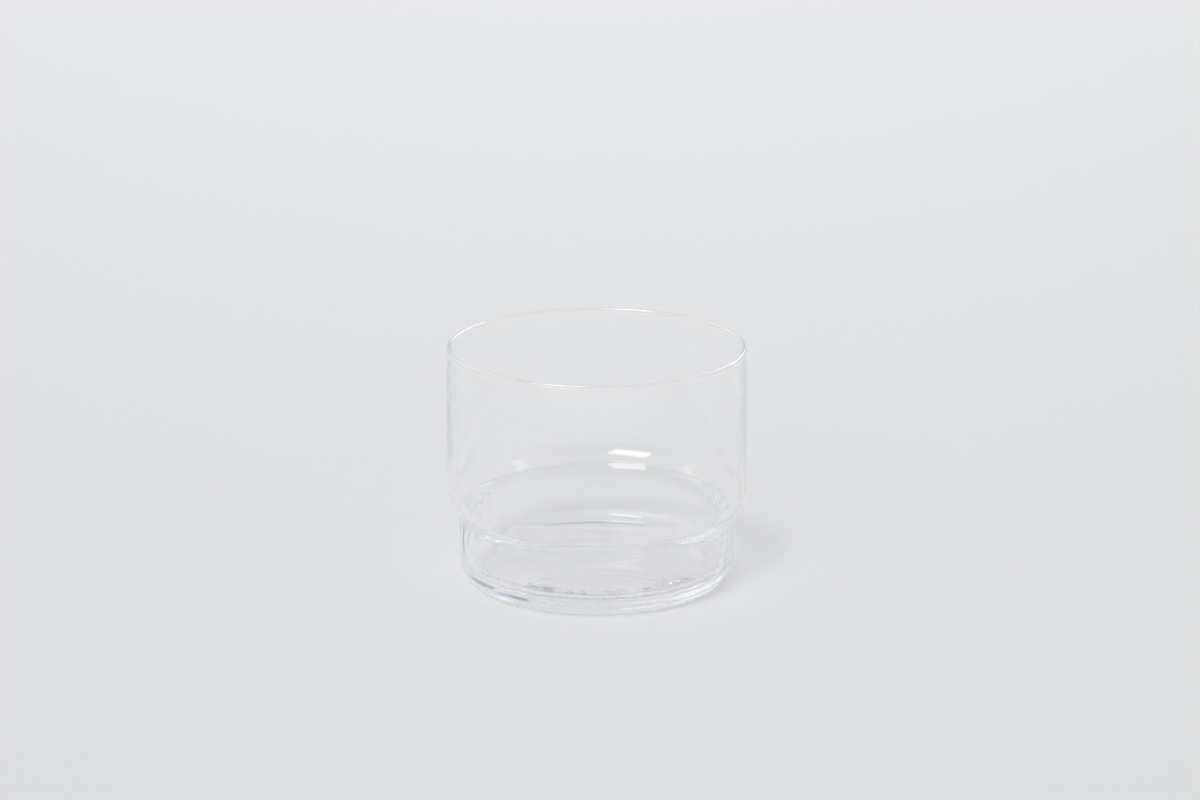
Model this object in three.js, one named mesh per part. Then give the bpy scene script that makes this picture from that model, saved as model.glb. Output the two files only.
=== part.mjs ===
// Low stackable tumbler of clear glass, blown as one piece and spun here about the vertical axis.
// The narrow foot drops into the mouth of the tumbler below until the shoulder sits on that rim.
// Millimetres, +Z up. The origin is the middle of the base, on the surface that it stands on.

import * as THREE from 'three';

// Outside
const BOWL_DIAMETER = 84.1;
const HEIGHT = 67.6;
const FOOT_HEIGHT = 20.0;          // from the table to the top of the foot's upright wall
const SHOULDER_RADIUS = 8.0;       // where the shoulder turns up into the bowl
const HOLLOW_RADIUS = 1.3;         // where the foot turns out under the shoulder
const BASE_CORNER_WIDTH = 5.5;
const BASE_CORNER_HEIGHT = 6.5;
const STANDING_RING_WIDTH = 3.2;   // flat ring that meets the table
const PUNT_DEPTH = 0.6;            // hollow under the base, inside that ring

// Rim
const RIM_WALL = 0.9;              // glass just below the rim
const RIM_SWELL = 0.12;            // how far the fire-polished rim swells past that wall, on each side
const RIM_LEAN = 0.4;              // how far the wall leans in by the time it reaches the rim
const LEAN_POWER = 4;              // keeps the lean near the top of the wall

// Inside
const BOWL_WALL = 1.8;             // glass at the foot of the straight wall
const FOOT_WALL = 3.4;
const FLOOR_THICKNESS = 4.5;
const FLOOR_CORNER_RADIUS = 3.3;
const INNER_BEND_RISE = 7.75;      // how far above the foot's wall the inside starts to turn in
const INNER_BEND_RADIUS = 8.2;     // where the inside turns in from the bowl
const INNER_LIP_RADIUS = 9.0;      // where it turns down again into the foot

// Fit
const STACK_CLEARANCE = 1.95;      // all round, between a foot and the rim that it drops into

// Faceting
const STEPS_AROUND = 72;
const STEPS_PUNT = 4;
const STEPS_WALL = 4;
const STEPS_ROUND = 6;             // on each rounded stretch

// Worked out from the sizes above
const bowlRadius = BOWL_DIAMETER / 2;
const rimRadius = RIM_WALL / 2 + RIM_SWELL;
const rimCentreRadius = bowlRadius - RIM_LEAN - RIM_WALL / 2;
const rimCentreHeight = HEIGHT - rimRadius;
const rimNeckAngle = Math.acos(RIM_WALL / 2 / rimRadius);
const wallTop = rimCentreHeight - rimRadius * Math.sin(rimNeckAngle);
const footRadius = rimCentreRadius - rimRadius - STACK_CLEARANCE;
const standingRadius = footRadius - BASE_CORNER_WIDTH;
const shoulderTop = FOOT_HEIGHT + bendHeight(bowlRadius - footRadius, SHOULDER_RADIUS, HOLLOW_RADIUS);
const innerBowlRadius = bowlRadius - BOWL_WALL;
const innerFootRadius = footRadius - FOOT_WALL;
const innerBendTop = FOOT_HEIGHT + INNER_BEND_RISE;

const QUARTER = Math.PI / 2;

// Points of a round stretch, from one angle to another, angles counted from straight out.
function arc(centreRadius, centreHeight, from, to, width, height = width) {
  return Array.from({ length: STEPS_ROUND + 1 }, (_, i) => {
    const angle = from + (to - from) * i / STEPS_ROUND;
    return new THREE.Vector2(
      centreRadius + width * Math.cos(angle),
      centreHeight + height * Math.sin(angle),
    );
  });
}

// Angle that both turns of a double bend take to carry a wall in by a given step.
function bendAngle(step, upperRadius, lowerRadius) {
  return Math.acos(1 - step / (upperRadius + lowerRadius));
}

// Height of that double bend.
function bendHeight(step, upperRadius, lowerRadius) {
  return (upperRadius + lowerRadius) * Math.sin(bendAngle(step, upperRadius, lowerRadius));
}

// A double bend from the top down: in from the wide wall, then down again into the narrow one.
function doubleBend(wide, narrow, top, upperRadius, lowerRadius) {
  const turn = bendAngle(wide - narrow, upperRadius, lowerRadius);
  const bottom = top - bendHeight(wide - narrow, upperRadius, lowerRadius);
  const upper = arc(wide - upperRadius, top, 0, -turn, upperRadius);
  const lower = arc(narrow + lowerRadius, bottom, Math.PI - turn, Math.PI, lowerRadius);
  return [...upper, ...lower.slice(1)];
}

// Underside: a shallow hollow, the flat standing ring and the rounded corner of the base.
function underside() {
  const ringInside = standingRadius - STANDING_RING_WIDTH;
  const hollow = Array.from({ length: STEPS_PUNT + 1 }, (_, i) => {
    const across = i / STEPS_PUNT;
    return new THREE.Vector2(ringInside * across, PUNT_DEPTH * (1 - across ** 2));
  });
  const corner = arc(
    standingRadius, BASE_CORNER_HEIGHT, -QUARTER, 0, BASE_CORNER_WIDTH, BASE_CORNER_HEIGHT,
  );
  return [...hollow, ...corner];
}

// Shoulder: a tight hollow out of the foot, then a full round up into the bowl.
function shoulder() {
  return doubleBend(bowlRadius, footRadius, shoulderTop, SHOULDER_RADIUS, HOLLOW_RADIUS).reverse();
}

// One face of the straight wall, from a start height to just short of the rim. glassAt says how thick
// the glass is there, counted in from the outer face.
function wallFace(startHeight, glassAt) {
  return Array.from({ length: STEPS_WALL }, (_, i) => {
    const up = i / STEPS_WALL;
    const radius = bowlRadius - RIM_LEAN * up ** LEAN_POWER - glassAt(up);
    return new THREE.Vector2(radius, startHeight + (wallTop - startHeight) * up);
  });
}

// Rim: a rounded bead, from its neck outside over the top to its neck inside.
function rim() {
  return arc(rimCentreRadius, rimCentreHeight, -rimNeckAngle, Math.PI + rimNeckAngle, rimRadius);
}

// Inside: a double bend leads from the bowl into the foot, then a rounded corner into the flat floor.
function inside() {
  const bend = doubleBend(
    innerBowlRadius, innerFootRadius, innerBendTop, INNER_BEND_RADIUS, INNER_LIP_RADIUS,
  );
  const cornerRadius = innerFootRadius - FLOOR_CORNER_RADIUS;
  const cornerHeight = FLOOR_THICKNESS + FLOOR_CORNER_RADIUS;
  const corner = arc(cornerRadius, cornerHeight, 0, -QUARTER, FLOOR_CORNER_RADIUS);
  return [...bend, ...corner, new THREE.Vector2(0, FLOOR_THICKNESS)];
}

// The whole section, from the middle of the underside round to the middle of the floor.
function section() {
  const outerWall = wallFace(shoulderTop, () => 0).slice(1);
  const innerWall = wallFace(innerBendTop, (up) => BOWL_WALL + (RIM_WALL - BOWL_WALL) * up).slice(1);
  return [...underside(), ...shoulder(), ...outerWall, ...rim(), ...innerWall.reverse(), ...inside()];
}

const clearGlass = new THREE.MeshStandardMaterial({
  color: 0xe4eef2,
  roughness: 0.03,
  metalness: 0,
  transparent: true,
  opacity: 0.35,
});

// The lathe turns about +Y, so the finished form is tipped up to stand on +Z.
const spun = new THREE.LatheGeometry(section(), STEPS_AROUND);
spun.rotateX(QUARTER);

const tumbler = new THREE.Mesh(spun, clearGlass);
tumbler.name = 'tumbler';

const part = new THREE.Group();
part.add(tumbler);

export default part;
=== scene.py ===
"""Clear glass stackable tumbler, dressed on the frame of the packed model.

The glass is one closed body of revolution, spun from a section drawn in real sizes. Marks of forming are
pressed into it: a crease with wrinkles round its floor, faint waves and upright ripples in the foot's
wall.
Painted shade darkens the glass along the crease's line, in the wrinkles and in streaks at the edge of the
base.
"""

import math

import bmesh
import bpy
from bpy.props import FloatProperty, FloatVectorProperty, IntProperty, PointerProperty
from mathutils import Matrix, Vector, noise


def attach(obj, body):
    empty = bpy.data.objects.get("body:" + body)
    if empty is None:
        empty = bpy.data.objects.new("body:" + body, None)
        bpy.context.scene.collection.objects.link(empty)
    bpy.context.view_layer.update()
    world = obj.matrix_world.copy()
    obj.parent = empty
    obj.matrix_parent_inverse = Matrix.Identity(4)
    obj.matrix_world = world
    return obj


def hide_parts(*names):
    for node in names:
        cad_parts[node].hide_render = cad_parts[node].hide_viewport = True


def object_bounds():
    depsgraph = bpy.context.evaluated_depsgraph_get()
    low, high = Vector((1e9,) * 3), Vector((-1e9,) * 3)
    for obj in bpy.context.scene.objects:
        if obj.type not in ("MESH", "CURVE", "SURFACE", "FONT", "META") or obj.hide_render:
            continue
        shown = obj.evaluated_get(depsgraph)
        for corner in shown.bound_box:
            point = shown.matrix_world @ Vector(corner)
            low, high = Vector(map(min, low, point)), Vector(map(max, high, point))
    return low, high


bl_info = {
    "name": "Stackable tumbler",
    "version": (1, 0, 0),
    "blender": (4, 5, 0),
    "location": "3D View > Sidebar > Tumbler",
    "description": "Spins a clear glass stackable tumbler and sets up the studio that shows it",
    "category": "Object",
}

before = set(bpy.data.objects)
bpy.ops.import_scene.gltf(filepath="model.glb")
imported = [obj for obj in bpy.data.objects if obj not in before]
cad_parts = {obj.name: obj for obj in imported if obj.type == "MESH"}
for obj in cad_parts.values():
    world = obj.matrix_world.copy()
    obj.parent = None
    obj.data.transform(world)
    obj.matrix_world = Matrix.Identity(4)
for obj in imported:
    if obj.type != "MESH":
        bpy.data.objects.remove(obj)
CAD_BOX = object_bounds()
LOW, HIGH = (Vector(corner) for corner in CAD_BOX)

MM = 0.001
QUARTER = math.pi / 2
WHITE = (1, 1, 1, 1)

# How finely the section and the turn are cut
STEPS_AROUND = 480
RING_PITCH = 0.7 * MM
FINE_PITCH = 0.22 * MM
LEAST_STEPS = 6
HOLLOW_STEPS = 20
WALL_STEPS = 48

# Share of the floor, from its corner in, that is cut finely for the wrinkles
FINE_FLOOR = 0.2

# Keeps the lean of the straight wall near the rim
LEAN_POWER = 4

# Mesh attribute that holds the painted shade in the glass, from 0 to 1
PAINTED_SHADE = "painted_shade"

# Painted streaks of shade in the edge of the base, with no shape of their own: height and half width, then
# middle and half length, from -Y towards +X
SHADE_STREAKS = (
    (4.8 * MM, 0.5 * MM, math.radians(-56), math.radians(10)),
    (4.0 * MM, 0.5 * MM, math.radians(-38), math.radians(9)),
    (7.0 * MM, 0.25 * MM, math.radians(71), math.radians(9)),
    (3.0 * MM, 0.3 * MM, math.radians(70), math.radians(7)),
)

# A marked stretch round the glass fades out between these shares of its half length
STRETCH_END = (0.75, 1.1)

# The ripples rise between these shares of the base's rounded edge and fade between these of the foot
RIPPLE_RISE = (0.6, 1.2)
RIPPLE_FADE = (0.8, 1.1)

# Noise of ripples and wrinkles: how soon finer octaves fade, how much finer each is and how many there are
RIPPLE_NOISE = (1.0, 2.0, 2)
WRINKLE_NOISE = (0.9, 2.0, 3)

# How far a seed moves the noise. The floor's patterns lie more such moves apart, so that they differ
SEED_MOVE = Vector((37, 17, 5))
WANDER_MOVES = 2
WRINKLE_MOVES = 3

# How many times as long as the wrinkles the crease's own wandering is
WANDER_LENGTH = 2

# Heights of the wrinkle noise at which the painted shade in the wrinkles starts and is full
WRINKLE_SHADE_NOISE = (0.05, 0.4)

# How many times narrower than the crease its painted dark line of shade is, and how much of the line shows
# at the front
LINE_SHARPNESS = 1.6
FRONT_LINE = 0.5

# Paper: the length and the cells of one side, and a gap that keeps it off the base
PAPER_SIDE = 8.0
PAPER_CELLS = 8
PAPER_GAP = 0.2 * MM

# The stretch of paper over which its painted light changes its tone, along Y
PAPER_NEAR = -0.6
PAPER_FAR = 0.95

# How much of that change of painted light the paper loses towards its sides, per square metre
PAPER_FALL = 2.0

# In front of the picture's lower edge the paper turns white, along Y, past the tone of its far end
FRONT_FROM = -0.17
FRONT_TO = -0.24
FRONT_TONE = 1.6

# Where the pale walls turn into the dark of the room behind the camera, as the Y of a sight line
DARK_FROM = -0.2
DARK_TO = -0.6

# Where most of the light on the paper comes from, and how far from there it spreads
WINDOW_SIDE = Vector((-0.30, -0.74, 0.60)).normalized()
WINDOW_SPREAD = math.radians(17)

# Over this span of turns inside the wall light gets mixed, and then it brings the pale tone of the room
MIXED_TURNS = (6, 12)

# Turns after which a rim lamp is gone, so that only its first reflection shows. A lamp counts one turn
# more than the sight line has made
FIRST_REFLECTION = (2.4, 2.6)

# Below this diffuse depth a sight line hasn't met the paper yet
UNSCATTERED = 0.5

# Lamps: places and sizes, and the key's share in light that has turned often
KEY_PLACE = (-0.9367, -1.4152, 1.7309)
KEY_SIZE = (1.19, 0.84)
KEY_KEPT = 0.15
SIDE_PLACES = {"right_lamp": (1.2, -0.05, 1.2), "left_lamp": (-1.2, 0.3, 1.1)}
SIDE_SIZE = (0.3, 0.4)

# Each rim lamp's place, size and power, as a share of the rim power
RIM_LAMPS = {
    "right_rim_lamp": ((0.994, 1.418, 1.0), (1.6, 1.1), 0.8),
    "left_rim_lamp": ((-0.994, 1.418, 1.0), (1.6, 1.1), 0.3),
    "front_rim_lamp": ((-0.53, -0.53, 1.85), (1.0, 0.6), 2.4),
}

# Camera, with its focal length in pixels of the picture
IMAGE_WIDTH = 1200
FOCAL_PIXELS = 3718
CAMERA_PLACE = (0.0009, -1.0, 0.3405)
CAMERA_DIP = math.radians(16.11)

# Light may run far round inside the wall before it comes out at the rim
BOUNCES = 400

# The Mix node has several sockets of one name, so its two colours and their mix go by number
FIRST_COLOUR = 6
SECOND_COLOUR = 7
MIXED_COLOUR = 2


def linear(hex_code):
    """Linear red, green and blue of an sRGB hex colour."""
    values = [int(hex_code[i:i + 2], 16) / 255 for i in (1, 3, 5)]
    return tuple(v / 12.92 if v <= 0.04045 else ((v + 0.055) / 1.055) ** 2.4 for v in values)


def length(name, description, millimetres):
    """A size in the sidebar, given in millimetres and held in metres."""
    return FloatProperty(
        name=name, description=description, default=millimetres * MM, unit="LENGTH", precision=5
    )


def angle(name, description, degrees):
    """An angle in the sidebar, given in degrees and held in radians."""
    return FloatProperty(
        name=name, description=description, default=math.radians(degrees), subtype="ANGLE"
    )


def amount(name, description, default, least=0, unit="NONE"):
    """A strength, share or power in the sidebar."""
    return FloatProperty(name=name, description=description, default=default, min=least, unit=unit)


def colour(name, description, hex_code):
    """A colour in the sidebar, given as sRGB hex and held as linear light."""
    return FloatVectorProperty(
        name=name, description=description, default=linear(hex_code), subtype="COLOR", min=0, max=1
    )


class TumblerSizes(bpy.types.PropertyGroup):
    """Sizes of the glass."""

    bowl_diameter: length("Bowl diameter", "Across the outside of the bowl", (HIGH.x - LOW.x) / MM)
    height: length("Height", "From the table to the top of the rim", HIGH.z / MM)
    foot_height: length("Foot height", "From the table to the top of the foot's upright wall", 20.0)
    shoulder_radius: length("Shoulder radius", "Where the outside turns in from the bowl", 8.0)
    hollow_radius: length("Hollow radius", "Where the outside turns down again into the foot", 1.3)
    corner_width: length("Base corner width", "How far in the rounded edge of the base reaches", 5.5)
    corner_height: length("Base corner height", "How far up the rounded edge of the base reaches", 6.5)
    ring_width: length("Standing ring", "Width of the flat ring that meets the table", 3.2)
    hollow_depth: length("Hollow depth", "Depth of the hollow under the base", 0.6)
    rim_wall: length("Rim wall", "Glass just below the rim", 0.9)
    rim_swell: length("Rim swell", "How far the fire-polished rim swells past its wall, each side", 0.12)
    rim_lean: length("Rim lean", "How far the wall leans in by the rim", 0.4)
    bowl_wall: length("Bowl wall", "Glass at the foot of the straight wall", 1.8)
    foot_wall: length("Foot wall", "Glass in the wall of the foot", 3.4)
    floor_thickness: length("Floor thickness", "From the table to the floor of the inside", 4.5)
    floor_corner: length("Floor corner", "Radius between the inner wall and the floor", 3.3)
    bend_rise: length("Bend rise", "How far above the foot the inside starts to turn in", 7.75)
    bend_radius: length("Bend radius", "Where the inside turns in from the bowl", 8.2)
    lip_radius: length("Lip radius", "Where the inside turns down into the foot", 9.0)
    stack_clearance: length("Stacking clearance", "Between a foot and the rim that it drops into", 1.95)


class SurfaceMarks(bpy.types.PropertyGroup):
    """Marks that forming leaves in the glass."""

    crease_depth: length("Crease depth", "Depth of the crease round the floor", 0.16)
    crease_width: length("Crease width", "Half width of the crease", 0.7)
    wrinkle_height: length("Wrinkle height", "Height of the wrinkles inside the crease", 0.22)
    wrinkle_size: length("Wrinkle size", "Distance from one wrinkle to the next", 2.8)
    wrinkle_inset: length("Wrinkle inset", "From the crease in to the middle of the wrinkles", 3.2)
    wrinkle_reach: length("Wrinkle reach", "How far the wrinkles spread to each side", 2.8)
    wrinkle_middle: angle("Wrinkle middle", "Middle of the wrinkled stretch, from -Y towards +X", 8)
    wrinkle_span: angle("Wrinkle span", "Half of the wrinkled stretch", 56)
    # The crease's dark line is painted shade
    back_shade_reach: angle("Back reach", "How far from +Y the crease shows as a dark line", 48)
    wave_height: length("Wave height", "Height of the waves in the inside", 0.02)
    wave_size: length("Wave size", "Distance from one wave to the next", 11.0)
    ripple_height: length("Ripple height", "Height of the upright ripples in the foot's wall", 0.01)
    seam_height: length("Seam height", "Height of those ripples beside the mould's two seams", 0.1)
    seam_reach: angle("Seam reach", "How far round the ripples beside a seam spread", 35)
    ripple_size: length("Ripple size", "Distance from one ripple to the next", 3.5)
    ripple_draw: amount("Ripple draw", "How much taller than wide a ripple is", 2.5, least=1)
    seed: IntProperty(name="Seed", description="Picks other wrinkles, waves and ripples", default=4, min=0)


class GlassFinish(bpy.types.PropertyGroup):
    """Finish of the glass."""

    ior: amount("IOR", "How strongly the glass bends light", 1.52, least=1)
    tint: colour("Tint", "What a very long way through the glass leaves of white light", "#7cbcf9")
    tint_density: amount("Tint density", "How soon the tint shows, per metre of glass", 0.5)
    # Painted shade: this colour darkens the glass along the crease's line, in the wrinkles and in the
    # base's streaks
    fold_shade: colour("Fold", "What the folds in the glass let through", "#7b82a0")


class StudioSettings(bpy.types.PropertyGroup):
    """Paper, lamps and room."""

    # The paper's two colours hold painted light: the near end darker and the far end lighter, as light
    # falls
    paper_near: colour("Near paper", "Colour of the matt paper at its near end", "#d6d7d9")
    paper_far: colour("Far paper", "Colour of the matt paper at its far end", "#e9eaec")
    room: amount("Room light", "Even light from the room on the paper", 0.84)
    window: amount("Window light", "Extra light on the paper from the window's side of the room", 6.5)
    pale: amount("Pale walls", "Brightness of the pale walls that the glass shows", 0.72)
    dark: amount("Dark room", "Brightness of the unlit room behind the camera", 0.3)
    key_power: amount("Key lamp", "Power of the soft lamp at the front left", 15.2, unit="POWER")
    rim_power: amount("Rim lamps", "Power that the lamps for the rim take shares of", 18.0, unit="POWER")
    side_power: amount("Side lamps", "Power of each dim lamp at the sides", 0.6, unit="POWER")


def straight(start, end, pitch=RING_PITCH):
    """Evenly spaced points of a straight stretch, both ends left out."""
    steps = max(LEAST_STEPS, math.ceil((end - start).length / pitch))
    return [start.lerp(end, i / steps) for i in range(1, steps)]


def arc(centre, radius, start, end, pitch=RING_PITCH):
    """Points of a round stretch, ends included. Angles count from straight out, up being positive."""
    steps = max(LEAST_STEPS, math.ceil(abs(end - start) * radius / pitch))
    angles = [start + (end - start) * i / steps for i in range(steps + 1)]
    return [centre + radius * Vector((math.cos(a), math.sin(a))) for a in angles]


class Section:
    """Half of the glass cut through its axis, as points (radius, height) from underside to floor."""

    def __init__(self, sizes):
        self.sizes = sizes
        self.bowl_radius = sizes.bowl_diameter / 2
        self.rim_radius = sizes.rim_wall / 2 + sizes.rim_swell
        self.rim_centre = Vector((
            self.bowl_radius - sizes.rim_lean - sizes.rim_wall / 2,
            sizes.height - self.rim_radius,
        ))
        self.neck_angle = math.acos(sizes.rim_wall / 2 / self.rim_radius)
        self.wall_top = self.rim_centre.y - self.rim_radius * math.sin(self.neck_angle)
        self.foot_radius = self.rim_centre.x - self.rim_radius - sizes.stack_clearance
        radii = sizes.shoulder_radius + sizes.hollow_radius
        self.slope = math.acos(1 - (self.bowl_radius - self.foot_radius) / radii)
        self.shoulder_top = sizes.foot_height + radii * math.sin(self.slope)
        self.inner_bowl_radius = self.bowl_radius - sizes.bowl_wall
        self.inner_foot_radius = self.foot_radius - sizes.foot_wall
        self.foot_wall_middle = (self.inner_foot_radius + self.foot_radius) / 2
        self.bend_top = sizes.foot_height + sizes.bend_rise
        self.crease_radius = self.inner_foot_radius - sizes.floor_corner

    def underside(self):
        """The shallow hollow, the standing ring and the rounded edge of the base."""
        s = self.sizes
        ring_outside = self.foot_radius - s.corner_width
        ring_inside = ring_outside - s.ring_width
        shares = [i / HOLLOW_STEPS for i in range(HOLLOW_STEPS + 1)]
        hollow = [Vector((ring_inside * t, s.hollow_depth * math.cos(QUARTER * t) ** 2)) for t in shares]
        edge = [
            Vector((ring_outside + s.corner_width * p.x, s.corner_height * (1 + p.y)))
            for p in arc(Vector((0, 0)), 1, -QUARTER, 0, FINE_PITCH / s.corner_height)
        ]
        return hollow + straight(hollow[-1], edge[0]) + edge

    def outside(self):
        """The foot's wall, the hollow, the shoulder and the straight wall up to the rim."""
        s = self.sizes
        base_edge = Vector((self.foot_radius, s.corner_height))
        hollow = arc(
            Vector((self.foot_radius + s.hollow_radius, s.foot_height)),
            s.hollow_radius, math.pi, math.pi - self.slope, FINE_PITCH,
        )
        shoulder = arc(
            Vector((self.bowl_radius - s.shoulder_radius, self.shoulder_top)),
            s.shoulder_radius, -self.slope, 0,
        )
        wall = self.wall_face(self.shoulder_top, lambda up: 0)
        return straight(base_edge, hollow[0]) + hollow + shoulder[1:] + wall

    def wall_face(self, start, glass_at):
        """One face of the straight wall, short of both its ends. glass_at gives the glass there."""
        points = []
        for i in range(1, WALL_STEPS):
            up = i / WALL_STEPS
            radius = self.bowl_radius - self.sizes.rim_lean * up ** LEAN_POWER - glass_at(up)
            points.append(Vector((radius, start + (self.wall_top - start) * up)))
        return points

    def rim(self):
        """The fire-polished bead, from its neck outside over the top to its neck inside."""
        inner_neck = math.pi + self.neck_angle
        return arc(self.rim_centre, self.rim_radius, -self.neck_angle, inner_neck, FINE_PITCH)

    def inside(self):
        """The inner wall, two equal turns into the foot, the foot's inner wall and the floor."""
        s = self.sizes
        wall = self.wall_face(self.bend_top, lambda up: s.bowl_wall + (s.rim_wall - s.bowl_wall) * up)
        radii = s.bend_radius + s.lip_radius
        turn = math.acos(1 - (self.inner_bowl_radius - self.inner_foot_radius) / radii)
        bend = arc(
            Vector((self.inner_bowl_radius - s.bend_radius, self.bend_top)), s.bend_radius, 0, -turn
        )
        lip = arc(
            Vector((self.inner_foot_radius + s.lip_radius, self.bend_top - radii * math.sin(turn))),
            s.lip_radius, math.pi - turn, math.pi,
        )
        corner = arc(
            Vector((self.crease_radius, s.floor_thickness + s.floor_corner)),
            s.floor_corner, 0, -QUARTER, FINE_PITCH,
        )
        middle = Vector((0, s.floor_thickness))
        near = corner[-1].lerp(middle, FINE_FLOOR)
        floor = straight(corner[-1], near, FINE_PITCH) + [near] + straight(near, middle) + [middle]
        return wall[::-1] + bend + lip[1:] + straight(lip[-1], corner[0]) + corner + floor

    def points(self):
        """The whole section."""
        return self.underside() + self.outside() + self.rim() + self.inside()


def smooth_step(low, high, value):
    """0 below low, 1 above high, with an even ease between."""
    t = min(1, max(0, (value - low) / (high - low)))
    return t * t * (3 - 2 * t)


def bell(offset):
    """1 at the middle, fading alike to both sides."""
    return math.exp(-offset ** 2)


def stretch_share(azimuth, middle, span):
    """1 on a stretch round the glass, easing to 0 at its ends."""
    off_middle = abs(math.remainder(azimuth - middle, math.tau))
    return 1 - smooth_step(*STRETCH_END, off_middle / span)


def foot_marks(point, azimuth, sizes, marks):
    """Height and painted shade outside: upright ripples in the foot's wall, and painted streaks of shade
    in the edge of the base.
    """
    reach = smooth_step(*RIPPLE_RISE, point.z / sizes.corner_height)
    reach *= 1 - smooth_step(*RIPPLE_FADE, point.z / sizes.foot_height)
    drawn = Vector((point.x, point.y, point.z / marks.ripple_draw)) / marks.ripple_size
    ripple = noise.fractal(drawn + SEED_MOVE * marks.seed, *RIPPLE_NOISE)
    seam = bell(math.atan2(point.y, abs(point.x)) / marks.seam_reach)
    height = marks.ripple_height + (marks.seam_height - marks.ripple_height) * seam
    # Painted shade: dark streaks in the base's edge, which have no shape of their own
    folds = [
        stretch_share(azimuth, middle, span) * bell((point.z - level) / width)
        for level, width, middle, span in SHADE_STREAKS
    ]
    return height * reach * ripple, max(folds)


def floor_marks(point, radius, azimuth, section, marks):
    """Height and painted shade inside: faint waves, the crease round the floor and the wrinkles within it,
    with painted shade along the crease's line and in the wrinkles.
    """
    move = SEED_MOVE * marks.seed
    low = 1 - smooth_step(section.sizes.floor_thickness, section.sizes.foot_height, point.z)
    wave = marks.wave_height * low * noise.noise(point / marks.wave_size + move)
    wrinkled = stretch_share(azimuth, marks.wrinkle_middle, marks.wrinkle_span)
    wander = noise.noise(point / (WANDER_LENGTH * marks.wrinkle_size) + WANDER_MOVES * move)
    off_crease = radius - section.crease_radius + marks.crease_width * wrinkled * wander
    crease = marks.crease_depth * bell(off_crease / marks.crease_width)
    near = wrinkled * bell((off_crease + marks.wrinkle_inset) / marks.wrinkle_reach)
    rough = noise.fractal(point / marks.wrinkle_size + WRINKLE_MOVES * move, *WRINKLE_NOISE)
    # Painted shade: the crease's dark line at the back and front, and shade in the wrinkles
    shown = max(stretch_share(azimuth, math.pi, marks.back_shade_reach), FRONT_LINE * wrinkled)
    line = shown * bell(LINE_SHARPNESS * off_crease / marks.crease_width)
    fold_shade = near * smooth_step(*WRINKLE_SHADE_NOISE, rough)
    return wave - crease + marks.wrinkle_height * near * rough, max(line, fold_shade)


def forming_marks(point, section, marks):
    """How far the surface stands out of the section at a point of the spun glass, and its painted shade.
    """
    radius = math.hypot(point.x, point.y)
    azimuth = math.atan2(point.x, -point.y)
    if point.z > section.sizes.floor_thickness / 2 and radius < section.foot_wall_middle:
        return floor_marks(point, radius, azimuth, section, marks)
    return foot_marks(point, azimuth, section.sizes, marks)


def spin(points, steps):
    """A closed mesh of revolution from a section that starts and ends on the axis."""
    mesh = bmesh.new()
    rings = []
    for point in points:
        if point.x < FINE_PITCH:
            rings.append([mesh.verts.new((0, 0, point.y))] * steps)
            continue
        angles = [math.tau * k / steps for k in range(steps)]
        rings.append([
            mesh.verts.new((point.x * math.cos(a), point.x * math.sin(a), point.y)) for a in angles
        ])
    for low, high in zip(rings, rings[1:]):
        for k in range(steps):
            after = (k + 1) % steps
            corners = dict.fromkeys((low[k], low[after], high[after], high[k]))
            mesh.faces.new(list(corners)).smooth = True
    mesh.normal_update()
    return mesh


def bare_tree(owner):
    """The emptied node tree of a material, lamp or world."""
    owner.use_nodes = True
    owner.node_tree.nodes.clear()
    return owner.node_tree


def add_node(tree, kind, settings=None, links=None):
    """Adds a node, sets its options and inputs, and links its inputs. An input goes by name or number."""
    node = tree.nodes.new(kind)
    for key, value in (settings or {}).items():
        if isinstance(key, str) and hasattr(node, key):
            setattr(node, key, value)
        else:
            node.inputs[key].default_value = value
    for key, source in (links or {}).items():
        tree.links.new(source, node.inputs[key])
    return node


def clear_soda_lime_glass(finish):
    """Blown soda-lime glass, fire-polished: clear right through, with a faint blue along its edges.

    Apart from painted shade it has no colour of its own face on. The tint comes from the long way that
    light takes inside the wall, and fine cords of denser glass, drawn out round the axis, stir the
    reflections a little. Along the crease's line, in the wrinkles and in streaks at the base's edge,
    painted shade darkens it.
    """
    cord_spacing = 2.4 * MM
    cord_height = 0.0003 * MM
    drawn_out = 0.12
    material = bpy.data.materials.new("clear_soda_lime_glass_fire_polished")
    tree = bare_tree(material)
    place = add_node(tree, "ShaderNodeTexCoord")
    stretch = add_node(
        tree, "ShaderNodeMapping",
        {"Scale": (drawn_out / cord_spacing, drawn_out / cord_spacing, 1 / cord_spacing)},
        {"Vector": place.outputs["Object"]},
    )
    cords = add_node(
        tree, "ShaderNodeTexNoise", {"Scale": 1.0, "Detail": 2.0}, {"Vector": stretch.outputs["Vector"]}
    )
    stirred = add_node(
        tree, "ShaderNodeBump", {"Strength": 1.0, "Distance": cord_height},
        {"Height": cords.outputs["Fac"]},
    )
    # Painted shade: the glass's colour turns to the shade colour where the mesh marks painted shade
    painted_shade = add_node(tree, "ShaderNodeAttribute", {"attribute_name": PAINTED_SHADE})
    let_through = add_node(
        tree, "ShaderNodeMix",
        {"data_type": "RGBA", FIRST_COLOUR: WHITE, SECOND_COLOUR: (*finish.fold_shade, 1)},
        {"Factor": painted_shade.outputs["Fac"]},
    )
    glass = add_node(
        tree, "ShaderNodeBsdfPrincipled",
        {"Roughness": 0.0, "IOR": finish.ior, "Transmission Weight": 1.0},
        {"Base Color": let_through.outputs[MIXED_COLOUR], "Normal": stirred.outputs["Normal"]},
    )
    tint = add_node(
        tree, "ShaderNodeVolumeAbsorption", {"Color": (*finish.tint, 1), "Density": finish.tint_density}
    )
    add_node(
        tree, "ShaderNodeOutputMaterial",
        links={"Surface": glass.outputs["BSDF"], "Volume": tint.outputs["Volume"]},
    )
    return material


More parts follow.
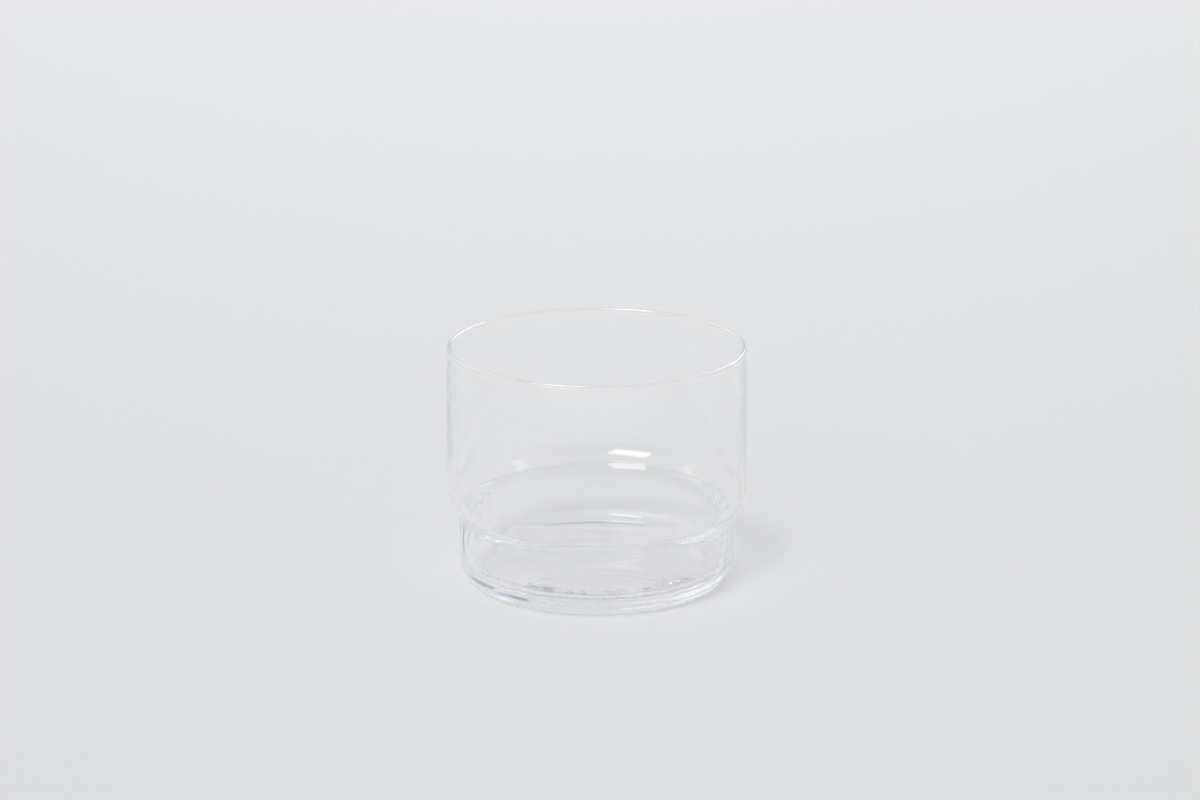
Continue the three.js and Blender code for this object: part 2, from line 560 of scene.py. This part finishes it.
def matt_paper(studio):
    """Uncoated studio paper: matt and pale, with a tooth that only shows in a close view.

    Its tone rises towards the far end, less so at the sides, as painted light, and turns white in front of
    the picture.
    """
    tooth_size = 0.5 * MM
    tooth_height = 0.05 * MM
    material = bpy.data.materials.new("matt_studio_paper")
    tree = bare_tree(material)
    place = add_node(tree, "ShaderNodeTexCoord")
    tooth = add_node(
        tree, "ShaderNodeTexNoise", {"Scale": 1 / tooth_size, "Detail": 3.0},
        {"Vector": place.outputs["Object"]},
    )
    bump = add_node(
        tree, "ShaderNodeBump", {"Strength": 0.1, "Distance": tooth_height},
        {"Height": tooth.outputs["Fac"]},
    )
    # Painted light: the tone gets lighter towards the far end and darker towards the sides
    across = add_node(tree, "ShaderNodeSeparateXYZ", links={"Vector": place.outputs["Object"]})
    far = add_node(
        tree, "ShaderNodeMapRange", {"From Min": PAPER_NEAR, "From Max": PAPER_FAR},
        {"Value": across.outputs["Y"]},
    )
    aside = add_node(
        tree, "ShaderNodeMath", {"operation": "MULTIPLY"},
        {0: across.outputs["X"], 1: across.outputs["X"]},
    )
    share = add_node(
        tree, "ShaderNodeMath", {"operation": "MULTIPLY_ADD", 1: -PAPER_FALL},
        {0: aside.outputs["Value"], 2: far.outputs["Result"]},
    )
    front = add_node(
        tree, "ShaderNodeMapRange", {"From Min": FRONT_FROM, "From Max": FRONT_TO, "To Max": FRONT_TONE},
        {"Value": across.outputs["Y"]},
    )
    either = add_node(
        tree, "ShaderNodeMath", {"operation": "MAXIMUM"},
        {0: share.outputs["Value"], 1: front.outputs["Result"]},
    )
    tone = add_node(
        tree, "ShaderNodeMix",
        {
            "data_type": "RGBA", "clamp_factor": False,
            FIRST_COLOUR: (*studio.paper_near, 1), SECOND_COLOUR: (*studio.paper_far, 1),
        },
        {"Factor": either.outputs["Value"]},
    )
    paper = add_node(
        tree, "ShaderNodeBsdfPrincipled", {"Roughness": 0.9, "Specular IOR Level": 0.0},
        {"Base Color": tone.outputs[MIXED_COLOUR], "Normal": bump.outputs["Normal"]},
    )
    add_node(tree, "ShaderNodeOutputMaterial", links={"Surface": paper.outputs["BSDF"]})
    return material


class TUMBLER_OT_spin_glass(bpy.types.Operator):
    """Spin the glass from its section and press the forming marks into it"""

    bl_idname = "tumbler.spin_glass"
    bl_label = "Spin the glass"

    def execute(self, context):
        section = Section(context.scene.tumbler_sizes)
        marks = context.scene.tumbler_marks
        body = spin(section.points(), STEPS_AROUND)
        # Each vertex gets its pressed height and its painted shade
        painted_shade = body.verts.layers.float.new(PAINTED_SHADE)
        pressed = [forming_marks(vert.co, section, marks) for vert in body.verts]
        for vert, (height, fold_shade) in zip(body.verts, pressed):
            vert.co += vert.normal * height
            vert[painted_shade] = fold_shade
        mesh = bpy.data.meshes.new("glass_tumbler")
        body.to_mesh(mesh)
        body.free()
        mesh.materials.append(clear_soda_lime_glass(context.scene.tumbler_finish))
        glass = bpy.data.objects.new("glass_tumbler", mesh)
        context.collection.objects.link(glass)
        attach(glass, "root")
        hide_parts("tumbler")
        return {"FINISHED"}


def lay_paper(context, studio):
    """The flat sheet that the glass stands on, wide enough to fill the picture."""
    mesh = bpy.data.meshes.new("paper_sweep")
    body = bmesh.new()
    bmesh.ops.create_grid(body, x_segments=PAPER_CELLS, y_segments=PAPER_CELLS, size=PAPER_SIDE / 2)
    body.to_mesh(mesh)
    body.free()
    mesh.materials.append(matt_paper(studio))
    paper = bpy.data.objects.new("paper_sweep", mesh)
    paper.location.z = LOW.z - PAPER_GAP
    context.collection.objects.link(paper)


def hang_lamp(context, name, place, size, power, kept=1.0, turns=MIXED_TURNS):
    """A soft lamp that faces the glass. It shows in the glass and leaves the paper alone.

    Over the span of turns that a sight line makes inside the glass, the lamp fades to the share kept.
    """
    data = bpy.data.lights.new(name, "AREA")
    data.shape = "RECTANGLE"
    data.size, data.size_y = size
    data.energy = power
    tree = bare_tree(data)
    ray = add_node(tree, "ShaderNodeLightPath")
    first, last = turns
    guided = add_node(
        tree, "ShaderNodeMapRange",
        {"From Min": first, "From Max": last, "To Min": 1.0, "To Max": kept},
        {"Value": ray.outputs["Ray Depth"]},
    )
    seen = add_node(
        tree, "ShaderNodeMath", {"operation": "LESS_THAN", 1: UNSCATTERED},
        {0: ray.outputs["Diffuse Depth"]},
    )
    both = add_node(
        tree, "ShaderNodeMath", {"operation": "MULTIPLY"},
        {0: guided.outputs["Result"], 1: seen.outputs["Value"]},
    )
    glow = add_node(tree, "ShaderNodeEmission", links={"Strength": both.outputs["Value"]})
    add_node(tree, "ShaderNodeOutputLight", links={"Surface": glow.outputs["Emission"]})
    lamp = bpy.data.objects.new(name, data)
    lamp.location = place
    glass_middle = Vector((0, 0, HIGH.z / 2))
    lamp.rotation_euler = (glass_middle - Vector(place)).to_track_quat("-Z", "Y").to_euler()
    lamp.visible_diffuse = False
    context.collection.objects.link(lamp)


def hang_lamps(context, studio):
    """The key lamp at the front left, the lamps that show in the rim and the dim ones at the sides."""
    hang_lamp(context, "key_lamp", KEY_PLACE, KEY_SIZE, studio.key_power, KEY_KEPT)
    for name, (place, size, share) in RIM_LAMPS.items():
        hang_lamp(context, name, place, size, studio.rim_power * share, kept=0.0, turns=FIRST_REFLECTION)
    for name, place in SIDE_PLACES.items():
        hang_lamp(context, name, place, SIDE_SIZE, studio.side_power)


def light_room(context, studio):
    """Light from all round. The paper gets an even light and the window's glow.

    The glass shows pale walls instead, and the dark of the room behind the camera. In light that has
    turned often inside the glass, that dark is mixed with the rest and gets as pale as the walls.
    """
    world = bpy.data.worlds.new("studio_room")
    context.scene.world = world
    tree = bare_tree(world)
    place = add_node(tree, "ShaderNodeTexCoord")
    away = add_node(tree, "ShaderNodeSeparateXYZ", links={"Vector": place.outputs["Generated"]})
    ray = add_node(tree, "ShaderNodeLightPath")
    first, last = MIXED_TURNS
    behind = add_node(
        tree, "ShaderNodeMapRange",
        {"From Min": first, "From Max": last, "To Min": studio.dark, "To Max": studio.pale},
        {"Value": ray.outputs["Ray Depth"]},
    )
    walls = add_node(
        tree, "ShaderNodeMapRange",
        {
            "interpolation_type": "SMOOTHSTEP", "From Min": DARK_FROM, "From Max": DARK_TO,
            "To Min": studio.pale,
        },
        {"Value": away.outputs["Y"], "To Max": behind.outputs["Result"]},
    )
    direct = ray.outputs["Is Camera Ray"]
    for name in ("Is Glossy Ray", "Is Transmission Ray"):
        either = add_node(
            tree, "ShaderNodeMath", {"operation": "MAXIMUM"}, {0: direct, 1: ray.outputs[name]}
        )
        direct = either.outputs["Value"]
    unscattered = add_node(
        tree, "ShaderNodeMath", {"operation": "LESS_THAN", 1: UNSCATTERED},
        {0: ray.outputs["Diffuse Depth"]},
    )
    seen = add_node(
        tree, "ShaderNodeMath", {"operation": "MULTIPLY"}, {0: direct, 1: unscattered.outputs["Value"]}
    )
    towards = add_node(
        tree, "ShaderNodeVectorMath", {"operation": "DOT_PRODUCT", 1: WINDOW_SIDE},
        {0: place.outputs["Generated"]},
    )
    lights = add_node(
        tree, "ShaderNodeMapRange",
        {
            "interpolation_type": "SMOOTHSTEP", "From Min": math.cos(WINDOW_SPREAD), "From Max": 1.0,
            "To Min": studio.room, "To Max": studio.room + studio.window,
        },
        {"Value": towards.outputs["Value"]},
    )
    strength = add_node(
        tree, "ShaderNodeMapRange",
        links={
            "Value": seen.outputs["Value"],
            "To Min": lights.outputs["Result"],
            "To Max": walls.outputs["Result"],
        },
    )
    air = add_node(
        tree, "ShaderNodeBackground", {"Color": WHITE}, {"Strength": strength.outputs["Result"]}
    )
    add_node(tree, "ShaderNodeOutputWorld", links={"Surface": air.outputs["Background"]})


def place_camera(context):
    """The camera in front of the glass, looking down at it a little."""
    data = bpy.data.cameras.new("camera")
    data.lens = data.sensor_width * FOCAL_PIXELS / IMAGE_WIDTH
    camera = bpy.data.objects.new("camera", data)
    camera.location = CAMERA_PLACE
    camera.rotation_euler = (QUARTER - CAMERA_DIP, 0, 0)
    context.collection.objects.link(camera)
    context.scene.camera = camera


class TUMBLER_OT_set_stage(bpy.types.Operator):
    """Lay the paper, hang the lamps, light the room and place the camera"""

    bl_idname = "tumbler.set_stage"
    bl_label = "Set the stage"

    def execute(self, context):
        studio = context.scene.tumbler_studio
        lay_paper(context, studio)
        hang_lamps(context, studio)
        light_room(context, studio)
        place_camera(context)
        context.scene.view_settings.view_transform = "Standard"
        light_paths = context.scene.cycles
        light_paths.blur_glossy = 0.0
        light_paths.max_bounces = BOUNCES
        light_paths.glossy_bounces = BOUNCES
        light_paths.transmission_bounces = BOUNCES
        return {"FINISHED"}


class TUMBLER_PT_sidebar(bpy.types.Panel):
    """Sizes, finish and steps of the tumbler"""

    bl_idname = "TUMBLER_PT_sidebar"
    bl_label = "Tumbler"
    bl_space_type = "VIEW_3D"
    bl_region_type = "UI"
    bl_category = "Tumbler"

    def draw(self, context):
        for name, group in GROUPS.items():
            settings = getattr(context.scene, name)
            box = self.layout.box()
            box.label(text=group.__doc__)
            for prop in group.__annotations__:
                box.prop(settings, prop)
        for step in STEPS:
            self.layout.operator(step.bl_idname)


GROUPS = {
    "tumbler_sizes": TumblerSizes,
    "tumbler_marks": SurfaceMarks,
    "tumbler_finish": GlassFinish,
    "tumbler_studio": StudioSettings,
}
STEPS = (TUMBLER_OT_spin_glass, TUMBLER_OT_set_stage)


def register():
    """Registers the classes and hangs the settings on the scene."""
    for item in (*GROUPS.values(), *STEPS, TUMBLER_PT_sidebar):
        bpy.utils.register_class(item)
    for name, group in GROUPS.items():
        setattr(bpy.types.Scene, name, PointerProperty(type=group))


def unregister():
    """Takes the settings and the classes away again."""
    for name in GROUPS:
        delattr(bpy.types.Scene, name)
    for item in (TUMBLER_PT_sidebar, *STEPS[::-1], *reversed(GROUPS.values())):
        bpy.utils.unregister_class(item)


def main():
    """Builds the glass and its studio."""
    register()
    bpy.ops.tumbler.spin_glass()
    bpy.ops.tumbler.set_stage()


if __name__ == "__main__":
    main()
